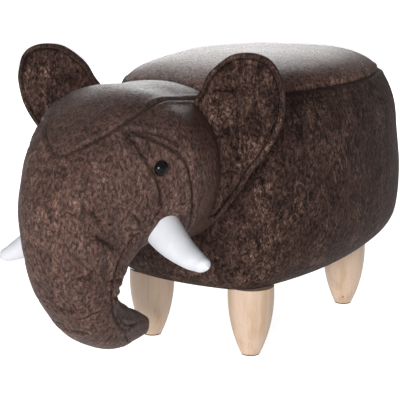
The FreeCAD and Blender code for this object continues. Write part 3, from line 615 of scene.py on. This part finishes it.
headForm = {
    "front": -0.099, "reach": 0.173, "width": 0.198, "depth": 0.181, "centre": 0.258, "tip": 0.062,
    "around": 132, "along": 150, "start": 0.002, "startFrom": 0.03, "squareness": 2.466,
    # back to trunk tip: reach, height, width and depth as shares, then the tilt in degrees
    "rows": [(-0.12, 0.93, 0.84, 1.03, 0), (0.106, 0.962, 0.9, 1.036, 0), (0.297, 0.979, 1.005, 1.008, 0),
             (0.541, 0.998, 1.039, 0.983, 10), (0.748, 0.917, 0.874, 0.93, 30), (0.903, 0.774, 0.715, 0.82, 52),
             (0.978, 0.592, 0.6, 0.652, 74), (1.0, 0.409, 0.504, 0.486, 92), (0.931, 0.247, 0.433, 0.354, 118),
             (0.787, 0.115, 0.368, 0.299, 142), (0.611, 0.062, 0.264, 0.278, 163), (0.441, 0.034, 0.17, 0.227, 167),
             (0.277, 0.0, 0.095, 0.123, 166)],
    "tipShares": (0.86, 0.62, 0.34, 0.1),
    # seams of the left half in mm
    "crownSeam": [(58, -96, 328), (59, -134, 331), (60, -184, 337), (58, -222, 331), (50, -250, 319), (37, -274, 305),
                  (22, -289, 296), (8, -297, 289), (0, -299, 286)],
    "cheekSeam": [(56, -255, 312), (76, -239, 304), (93, -217, 288), (100, -204, 273), (101, -197, 253),
                  (99, -191, 234), (94, -184, 214), (75, -163, 190), (51, -144, 169), (30, -112, 159)],
    "browDart": [(62, -250, 312), (74, -237, 309), (85, -224, 304), (93, -213, 295)],
    "eyeSeam": [(58, -255, 310), (73, -253, 293), (81, -247, 276), (86, -236, 253), (83, -226, 227)],
    "underSeam": [(81, -228, 221), (69, -248, 202), (61, -265, 183)],
    "trunkFrom": 6, "trunkPoints": 24, "seamEnds": 15,  # the under seam goes on along the trunk's side
    # lumps of the trunk's inner bend and beside the tusks: height, radius and place in mm
    "lumps": [(6.5, 17, (10, -219, 108)), (3.0, 13, (14, -199, 98)),
              (5.0, 13, (72, -238, 212)), (5.0, 13, (-72, -238, 212))],
    # folds pressed into the trunk: depth and width, then points in mm
    "folds": [(3.4, 5.0, [(44, -313, 214), (57, -295, 199), (61, -267, 183)]),
              (2.4, 5.0, [(43, -310, 238), (53, -304, 227), (59, -295, 216)]),
              (2.4, 4.0, [(71, -268, 228), (72, -257, 218), (71, -248, 210)]),
              (2.8, 4.5, [(30, -318, 160), (40, -311, 160), (50, -297, 159)]),
              (2.8, 5.0, [(17, -297, 109), (35, -291, 114), (45, -272, 120)]),
              (2.6, 4.5, [(57, -284, 150), (53, -268, 150), (46, -250, 148)]),
              (2.2, 4.0, [(52, -276, 128), (44, -256, 127), (35, -240, 126)]),
              (2.0, 4.0, [(34, -231, 78), (27, -215, 66), (14, -197, 54)]),
              (2.6, 5.0, [(-8, -302, 128), (8, -306, 122), (26, -300, 120)]),
              (2.0, 4.5, [(-20, -282, 96), (2, -286, 92), (22, -280, 94)]),
              (1.8, 3.5, [(43, -255, 117), (39, -240, 97), (28, -208, 80), (19, -182, 75)])],
    "backHeld": 0.006, "seamHeld": (1.15, 0.0045), "ripples": [(22, 5, 0.0008), (55, 2, 0.0005)],
    "rippleFade": 0.012, "shadowWidth": 0.0011, "crownFrom": 0.265, "crownRise": 0.05,
}


def headRows():
    form = headForm
    rows = np.array(form["rows"])
    y = form["front"] - rows[:, 0] * form["reach"]
    z = form["tip"] + rows[:, 1] * (form["centre"] - form["tip"])
    wide, deep = rows[:, 2] * form["width"] / 2, rows[:, 3] * form["depth"] / 2
    return np.column_stack([y, z, wide, deep, np.radians(rows[:, 4])]), lengthsAlong(np.column_stack([y, z]))


def headSection(values, angle, inset):
    y, z, wide, deep, tilt = values
    power = 2 / headForm["squareness"]
    x, up = [(half - inset) * math.copysign(abs(turn) ** power, turn)
             for half, turn in ((wide, math.cos(angle)), (deep, math.sin(angle)))]
    return (x, y - math.sin(tilt) * up, z + math.cos(tilt) * up)


def makeHead():
    form = headForm
    table, knots = headRows()
    spots = np.linspace(0, knots[-1], form["along"])
    rows = throughRows(knots, table, spots)
    angles = np.linspace(0, 2 * math.pi, form["around"], False)
    verts = [[headSection(r, a, form["start"] * min(1, r[2] / form["startFrom"])) for a in angles] for r in rows]
    last = np.array(verts[-1])
    middle = last.mean(0)
    for share in form["tipShares"]:  # closes the trunk's tip
        verts.append(middle + (last - middle) * share)
    count = len(verts)
    faces = ringFaces(count, form["around"])
    faces += capFaces((count - 1) * form["around"], form["around"])
    head = makeObject("head_hide", np.vstack(verts), faces)
    trunkSpots = np.linspace(knots[form["trunkFrom"]], knots[-1], form["trunkPoints"])
    trunkSide = [headSection(r, 0, form["start"]) for r in throughRows(knots, table, trunkSpots)]
    lines = {}
    for name in ("crownSeam", "cheekSeam", "browDart", "eyeSeam", "underSeam"):
        points = np.array(form[name]) * mm
        if name == "underSeam":
            points = np.vstack([points, trunkSide[1:form["seamEnds"]]])
        line = onSurface(head, smoothLine(points, 6 * len(points)))
        lines[name + "Left"] = line
        lines[name + "Right"] = line * (-1, 1, 1)
    return head, lines


head, headLines = makeHead()
spots = spotsOf(head)
away = np.min([distanceTo(spots, line) for line in headLines.values()], axis=0)
backEdge = spots[:, 1] > headForm["front"] + headForm["backHeld"]
most, fade = headForm["seamHeld"]
held = np.clip(np.where(backEdge, 1.0, most - away / fade), 0, 1)
stuff(head, held, pressure=700, growth=0.012, cap=0.005)
subdivide(head, 1)
headLines = {name: onSurface(head, line) for name, line in headLines.items()}
away = tuckSeam(head, list(headLines.values()), depth=0.0018, width=0.0020, ridge=0.0012)
spots = spotsOf(head)
free = np.clip(away / headForm["rippleFade"], 0, 1)
moveSpots(head, spots + normalsOf(head) * (ripples(spots, headForm["ripples"]) * free)[:, None])
shade = pressFolds(head, headForm["folds"], headForm["lumps"], seamShadow(away, headForm["shadowWidth"]))
crownShare = np.clip((spots[:, 2] - headForm["crownFrom"]) / headForm["crownRise"], 0, 1)
# the crown's lower tone is painted shade on the top of the head
setAttributes(head, panelShift=7.3, hideTone=1.2 - 0.2 * crownShare, hideWear=0.5 - 0.25 * crownShare, seamShade=shade)
dress(head, brownHide)
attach(head, "stool")
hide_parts("crown_panel", "under_panel", "cheek_panel_left", "cheek_panel_right", "eye_panel_left",
            "eye_panel_right", "face_panel", "trunk_tip_patch", "head_stuffing", "trunk_stuffing")
print("head done")

# Ears

earForm = {
    "seat": (0.093, -0.124, 0.252), "sweep": 4.0, "lean": 5.0, "rows": 120, "across": 64,
    "rest": {"left": 0.0, "right": -16.0}, "roll": {"left": 0.0, "right": 3.0},  # the right one hangs further forward
    # outline in mm, outward and up from the hinge
    "outline": [(-31, 77), (-20, 92), (-12, 107), (4, 122), (19, 131), (35, 134), (51, 133), (64, 128), (72, 120),
                (77, 109), (81, 95), (81, 81), (79, 66), (75, 54), (65, 35), (54, 18), (36, -4), (25, -22), (11, -40),
                (-1, -55), (-10, -62), (-17, -63), (-23, -56), (-29, -36), (-33, 0), (-35, 38), (-31, 77)],
    "rim": 0.0062, "rimHigh": 0.0034, "rimShare": 0.93, "shadowWidth": 0.0011,
    "halfThick": 0.0046, "padRise": 0.006, "padLeast": 0.0012, "lumpFade": 0.012, "edgeSnap": 0.0004,
    # hollow and lumps of the front face: rise, outward, up, width and height in mm
    "hollow": (6.0, 26, 72, 34, 55),
    "lumps": [(4.6, 4, 80, 17, 7), (-4.4, 14, 92, 24, 4), (1.8, 24, 103, 26, 8), (-1.6, -8, 30, 12, 26),
              (1.2, 38, 45, 15, 20), (-1.2, 58, 88, 9, 22)],
    "creaseShadow": (0.8, 13, 90, 17, 1.9), "creaseShadowSlope": 0.06,  # painted shade in the crease: how dark, then the same
    "ripple": 0.0006, "rippleScale": 30,
}


def turned(a, b, degrees):
    c, s = math.cos(math.radians(degrees)), math.sin(math.radians(degrees))
    return a * c - b * s, a * s + b * c


def earPlace(points, side):  # from the ear's own plane to the frame
    x, y, z = points.T
    z, x = turned(z, x, earForm["roll"][side])
    x, y = turned(x, y, earForm["rest"][side])
    y, z = turned(y, z, earForm["lean"])
    x, y = turned(x, y, earForm["sweep"])
    return np.column_stack([x, y, z]) + earForm["seat"]


def earSpread():  # flat grid between the ear's inner and outer edge
    form = earForm
    closed = smoothLine(np.array(form["outline"]) * mm, 481)
    top, tip = np.argmax(closed[:, 1]), np.argmin(closed[:, 1])
    turn = np.linspace(0, 1, form["rows"])
    spread = 0.5 * turn + 0.25 * (1 - np.cos(math.pi * turn))  # closer at both ends
    edges = []
    for edge in (np.vstack([closed[tip:-1], closed[:top + 1]]), closed[top:tip + 1][::-1]):
        lengths = lengthsAlong(edge)
        edges.append(np.column_stack([np.interp(spread * lengths[-1], lengths, axis) for axis in edge.T]))
    inner, outer = edges
    across = 0.5 * (1 - np.cos(np.linspace(0, math.pi, form["across"])))
    return closed, inner, outer, (inner[:, None] + (outer - inner)[:, None] * across[None, :, None]).reshape(-1, 2)


def makeEar():  # front and back sheets, their painted shade along the rim's groove and in the crease, and the groove inside the rim
    form = earForm
    closed, inner, outer, flat = earSpread()
    x, z = flat.T
    edge = distanceTo(np.column_stack([flat, x * 0]), np.column_stack([closed, closed[:, 0] * 0]), 0.0003, 0.06)
    edge[edge < form["edgeSnap"]] = 0
    rim = form["rim"]

    def bump(height, out, up, wide, tall, slope=0.0):
        return height * np.exp(-((x / mm - out) / wide) ** 2 - ((z / mm - up - x / mm * slope) / tall) ** 2)

    rolled = np.sqrt(np.clip(1 - ((edge - rim / 2) / (rim / 2)) ** 2, 0, 1)) * form["rimHigh"]
    pad = form["halfThick"] * (1 - np.exp(-np.clip(edge - rim, 0, 1) / form["padRise"])) + form["padLeast"]
    thick = np.where(edge < rim * form["rimShare"], rolled, pad)
    inside = np.clip((edge - rim) / form["lumpFade"], 0, 1)
    back = mm * bump(*form["hollow"])
    for lump in form["lumps"]:
        back -= inside * mm * bump(*lump)
    sheets = [np.column_stack([x, face * thick + back, z]) for face in (-1, 1)]
    shade = seamShadow(edge - rim, form["shadowWidth"])
    # painted shade in the front face's crease, over the rim groove's painted shade
    withCreaseShadow = np.maximum(shade, bump(*form["creaseShadow"], form["creaseShadowSlope"]))
    groove = np.vstack([inner, outer[::-1]])
    inward = groove.mean(0) - groove
    groove = groove + inward / np.linalg.norm(inward, axis=1)[:, None] * rim
    return sheets, np.r_[withCreaseShadow, shade], np.vstack([groove, groove[:1]])


def earObject(side, sign):
    sheets, shade, groove = makeEar()
    rows, across = earForm["rows"], earForm["across"]
    faces = []
    for face in (0, 1):
        for r in range(rows - 1):
            for a in range(across - 1):
                low = face * rows * across + r * across + a
                quad = (low, low + 1, low + across + 1, low + across)
                faces.append(quad if (face == 0) == (sign > 0) else quad[::-1])
    ear = makeObject("ear_hide_" + side, earPlace(np.vstack(sheets), side) * (sign, 1, 1), faces)
    setAttributes(ear, seamShade=shade)
    joined = ear.modifiers.new("joined", "WELD")
    joined.merge_threshold = 0.00002
    bakeModifiers(ear)
    spots = spotsOf(ear)
    ripple = roughly(spots, earForm["rippleScale"], 4 + sign) * earForm["ripple"]
    moveSpots(ear, spots + normalsOf(ear) * ripple[:, None])
    setAttributes(ear, panelShift=12.7 + sign, hideTone=0.68, hideWear=1.0)
    dress(ear, brownHide)
    lines = []
    for off in (-0.006, 0.006):  # in front of the ear and behind it
        near = earPlace(np.column_stack([groove[:, 0], np.full(len(groove), off), groove[:, 1]]), side)
        lines.append(onSurface(ear, near * (sign, 1, 1)))
    return ear, lines


earRims = {}
for side, sign in (("left", 1), ("right", -1)):
    ear, earRims[side] = earObject(side, sign)
    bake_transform(ear)
    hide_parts("ear_front_" + side, "ear_back_" + side, "ear_wadding_" + side)
print("ears done")

# Tusks

tuskForm = {
    "root": (0.058, -0.207, 0.212), "end": {"left": (0.144, -0.231, 0.169), "right": (0.144, -0.231, 0.139)},
    "base": 0.023, "bend": 0.009, "around": 40, "along": 40, "crowding": 1.4, "least": 0.03,
    "shares": [(0.0, 1.0), (0.3, 0.87), (0.6, 0.65), (0.85, 0.44), (0.96, 0.27), (1.0, 0.05)],
}


def tuskObject(side, sign):
    form = tuskForm
    root, end = np.array(form["root"]), np.array(form["end"][side])
    axis = (end - root) / np.linalg.norm(end - root)
    across = np.cross((0, 0, 1), axis)
    across /= np.linalg.norm(across)
    down = -np.cross(axis, across)
    shares = np.array(form["shares"])
    alongs = 1 - (1 - np.linspace(0, 1, form["along"])) ** form["crowding"]
    angles = np.linspace(0, 2 * math.pi, form["around"], False)
    rows = []
    for along, share in zip(alongs, throughRows(shares[:, 0], shares[:, 1:], alongs)[:, 0]):
        centre = root + axis * along * np.linalg.norm(end - root) + down * 4 * along * (1 - along) * form["bend"]
        radius = max(share, form["least"]) * form["base"]
        rows.append([centre + radius * (across * math.cos(a) + down * math.sin(a)) for a in angles])
    verts = np.vstack(rows) * (sign, 1, 1)
    faces = ringFaces(len(rows), form["around"], flip=sign > 0)
    faces += capFaces((len(rows) - 1) * form["around"], form["around"], flip=sign > 0)
    tusk = makeObject("tusk_hide_" + side, verts, faces)
    subdivide(tusk, 1)
    dress(tusk, whiteHide)
    return tusk


for side, sign in (("left", 1), ("right", -1)):
    tusk = tuskObject(side, sign)
    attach(tusk, "stool")
    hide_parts("tusk_skin_" + side, "tusk_fill_" + side)
print("tusks done")

# Dust cloth under the seat

dustForm = {"width": 0.196, "length": 0.319, "bow": 2.6, "height": 0.0879, "sag": 0.0012, "thick": 0.0005,
            "steps": 26, "middle": 0.02, "stapleInset": 0.007, "stapleDrop": 0.0007}


def makeDustCloth():
    form = dustForm
    rows = []
    for share in np.linspace(1, form["middle"], form["steps"]):
        ring = bowedOutline(share * form["width"] / 2, share * form["length"] / 2, form["bow"], form["height"])
        ring[:, 2] -= form["sag"] * (1 - share ** 2)
        rows.append(ring)
    around = len(rows[0])
    faces = ringFaces(len(rows), around, flip=True)
    faces += capFaces((len(rows) - 1) * around, around, flip=True)
    cloth = makeObject("dust_cloth", np.vstack(rows), faces)
    area = sum(p.area for p in cloth.data.polygons)
    wall = cloth.modifiers.new("wall", "SOLIDIFY")
    wall.thickness, wall.offset = form["thick"], -1
    bakeModifiers(cloth)
    return cloth, area


dust, dustArea = makeDustCloth()
dress(dust, dustCloth)
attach(dust, "stool")
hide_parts("dust_cover")
print("dust cloth done")

# Stitches and staples, laid along lines by node trees


def layingTree(name, form, makeShape):  # one input for each value of the form
    tree = bpy.data.node_groups.new(name, "GeometryNodeTree")
    tree.interface.new_socket("Geometry", in_out="INPUT", socket_type="NodeSocketGeometry")
    for label in form:
        kind = "NodeSocketMaterial" if label == "Material" else "NodeSocketFloat"
        tree.interface.new_socket(label, in_out="INPUT", socket_type=kind)
    tree.interface.new_socket("Geometry", in_out="OUTPUT", socket_type="NodeSocketGeometry")
    given, out = tree.nodes.new("NodeGroupInput").outputs, tree.nodes.new("NodeGroupOutput").inputs
    path = put(tree, "GeometryNodeMeshToCurve", {0: given["Geometry"]}).outputs[0]
    points = put(tree, "GeometryNodeCurveToPoints", {"Curve": path, "Length": given["Pitch"]}, mode="LENGTH").outputs
    upright = put(tree, "FunctionNodeAlignRotationToVector", {"Rotation": points["Rotation"], "Vector": (0, 0, 1)},
                  axis="Y", pivot_axis="Z").outputs[0]
    laid = put(tree, "GeometryNodeInstanceOnPoints", {"Points": points["Points"], "Instance": makeShape(tree, given),
                                                      "Rotation": upright}).outputs[0]
    real = put(tree, "GeometryNodeRealizeInstances", {0: laid}).outputs[0]
    smooth = put(tree, "GeometryNodeSetShadeSmooth", {0: real}).outputs[0]
    dressed = put(tree, "GeometryNodeSetMaterial", {0: smooth, "Material": given["Material"]}).outputs[0]
    tree.links.new(dressed, out[0])
    return tree


def stitchShape(tree, given):  # a thread bead drawn out along the seam
    bead = put(tree, "GeometryNodeMeshIcoSphere", {"Radius": given["Radius"], "Subdivisions": 2}).outputs[0]
    draw = put(tree, "ShaderNodeCombineXYZ", {0: 1.0, 1: 1.0, 2: given["Stretch"]}).outputs[0]
    return put(tree, "GeometryNodeTransform", {"Geometry": bead, "Scale": draw}).outputs[0]


def stapleShape(tree, given):  # a wire crown with two legs that go up into the board

    def wire(length):
        sizes = {"Vertices": 8, "Radius": given["Radius"], "Depth": length}
        return put(tree, "GeometryNodeMeshCylinder", sizes).outputs[0]

    half, rise = [sums(tree, "MULTIPLY", given[label], 0.5) for label in ("Width", "Leg")]
    parts = [wire(given["Width"])]
    for side in (-1, 1):
        place = put(tree, "ShaderNodeCombineXYZ", {0: 0.0, 1: rise, 2: sums(tree, "MULTIPLY", half, side)}).outputs[0]
        parts.append(put(tree, "GeometryNodeTransform", {"Geometry": wire(given["Leg"]), "Translation": place,
                                                         "Rotation": (math.pi / 2, 0, 0)}).outputs[0])
    joined = tree.nodes.new("GeometryNodeJoinGeometry")
    for part in parts:
        tree.links.new(part, joined.inputs[0])
    return joined.outputs[0]


stitchForm = {"Pitch": 0.0042, "Radius": 0.00042, "Stretch": 3.6, "Material": thread}
stapleForm = {"Pitch": 0.029, "Radius": 0.0006, "Width": 0.011, "Leg": 0.004, "Material": zinc}
stitchTree = layingTree("seamStitches", stitchForm, stitchShape)
stapleTree = layingTree("dustStaples", stapleForm, stapleShape)


def layAlong(name, lines, tree, form):
    verts = np.vstack(lines)
    firsts = np.cumsum([0] + [len(line) for line in lines])
    edges = [(i, i + 1) for a, b in zip(firsts[:-1], firsts[1:]) for i in range(a, b - 1)]
    piece = makeObject(name, verts, [], edges)
    layer = piece.modifiers.new("laid", "NODES")
    layer.node_group = tree
    for item in tree.interface.items_tree:
        if item.in_out == "INPUT" and item.name in form:
            layer[item.identifier] = form[item.name]
    bakeModifiers(piece)
    return piece


def evenly(line, count=400):
    lengths = lengthsAlong(line)
    return np.column_stack([np.interp(np.linspace(0, lengths[-1], count), lengths, axis) for axis in line.T])


headStitches = [onSurface(head, evenly(headLines[name + half]))
                for name in ("crownSeam", "cheekSeam", "browDart", "eyeSeam") for half in ("Left", "Right")]
seatStitches = onSurface(sideCover, evenly(topSeam, count=900))
stitches = layAlong("seam_stitches", headStitches + [seatStitches], stitchTree, stitchForm)
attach(stitches, "stool")
for side, sign in (("left", 1), ("right", -1)):
    stitches = layAlong("ear_stitches_" + side, [evenly(line) for line in earRims[side]], stitchTree, stitchForm)
    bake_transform(stitches)
inset, level = dustForm["stapleInset"], dustForm["height"] - dustForm["stapleDrop"]
stapleLine = bowedOutline(dustForm["width"] / 2 - inset, dustForm["length"] / 2 - inset, dustForm["bow"], level)
staples = layAlong("dust_cloth_staples", [np.vstack([stapleLine, stapleLine[:1]])], stapleTree, stapleForm)
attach(staples, "stool")
print("stitches and staples done")

# Rigid pieces from the frame

rigidLooks = [
    (beech, ("leg_front_left", "leg_front_right", "leg_rear_right")),
    (knottedBeech, ("leg_rear_left",)),
    (plywood, ("base_board", "seat_deck", "side_panel_left", "side_panel_right", "front_panel", "rear_panel")),
    (zinc, ("hanger_bolts", "tee_nuts", "frame_screws")),
    (felt, ("foot_pads",)),
    (eyeBlack, ("eye_left", "eye_right")),
    (washerWhite, ("eye_washers",)),
]
for material, names in rigidLooks:
    for name in names:
        dress(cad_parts[name], material)
print("rigid pieces done")

# Floor, light and camera

studio = {
    "lens": 117.2, "camera": (0.8431, -1.3497, 0.5376), "azimuth": 32.4, "elevation": 12.6,
    "floorReach": 14.0, "floorColour": (0.86, 0.86, 0.86, 1),
    # light given, and what is added where it is seen
    "floorGlow": (0.48, 0.40), "worldGlow": (0.18, 0.82), "inReflections": 0.4,
    "lamps": {"frontSoft": {"place": (0.75, -2.30, 0.55), "aim": (0, -0.1, 0.2), "size": 0.8, "power": 50},
              "backSoft": {"place": (-1.4, 2.2, 1.15), "aim": (0, 0.1, 0.3), "size": 1.6, "power": 36}},
}


def lamp(name, place, aim, size, power):
    data = bpy.data.lights.new(name, "AREA")
    data.shape, data.size, data.energy = "DISK", size, power
    made = bpy.data.objects.new(name, data)
    made.location = place
    made.rotation_euler = (Vector(aim) - Vector(place)).to_track_quat("-Z", "Y").to_euler()
    scene.collection.objects.link(made)


def glowing(tree, light, added):  # more for the camera and through clear things, some of it in reflections
    path = put(tree, "ShaderNodeLightPath").outputs
    straight = sums(tree, "MAXIMUM", path["Is Camera Ray"], path["Is Transmission Ray"])
    seen = sums(tree, "MULTIPLY_ADD", path["Is Glossy Ray"], studio["inReflections"], straight)
    return {"Color": (1, 1, 1, 1), "Strength": sums(tree, "MULTIPLY_ADD", seen, added, light)}


def makeFloor():
    reach = studio["floorReach"]
    corners = [(-reach, -reach, 0), (reach, -reach, 0), (reach, reach, 0), (-reach, reach, 0)]
    floor = makeObject("floor", corners, [(0, 1, 2, 3)])
    made = bpy.data.materials.new("paleFloor")
    made.use_nodes = True
    tree = made.node_tree
    tree.nodes.clear()
    matte = put(tree, "ShaderNodeBsdfDiffuse", {"Color": studio["floorColour"]})
    glow = put(tree, "ShaderNodeEmission", glowing(tree, *studio["floorGlow"]))
    both = put(tree, "ShaderNodeAddShader", {0: matte.outputs[0], 1: glow.outputs[0]})
    put(tree, "ShaderNodeOutputMaterial", {"Surface": both.outputs[0]})
    floor.data.materials.append(made)


def makeWorld():
    world = bpy.data.worlds.new("studio")
    scene.world = world
    world.use_nodes = True
    tree = world.node_tree
    tree.nodes.clear()
    back = put(tree, "ShaderNodeBackground", glowing(tree, *studio["worldGlow"]))
    put(tree, "ShaderNodeOutputWorld", {"Surface": back.outputs[0]})


def makeCamera():
    data = bpy.data.cameras.new("camera")
    data.lens, data.sensor_width, data.clip_start, data.clip_end = studio["lens"], 36, 0.05, 60
    camera = bpy.data.objects.new("camera", data)
    turn, lift = math.radians(studio["azimuth"]), math.radians(studio["elevation"])
    back = Vector((math.sin(turn) * math.cos(lift), -math.cos(turn) * math.cos(lift), math.sin(lift)))
    camera.location = studio["camera"]
    camera.rotation_euler = back.to_track_quat("Z", "Y").to_euler()
    scene.collection.objects.link(camera)
    scene.camera = camera


makeFloor()
makeWorld()
for name, settings in studio["lamps"].items():
    lamp(name, **settings)
makeCamera()
scene.view_settings.view_transform = "Standard"
print("studio done")
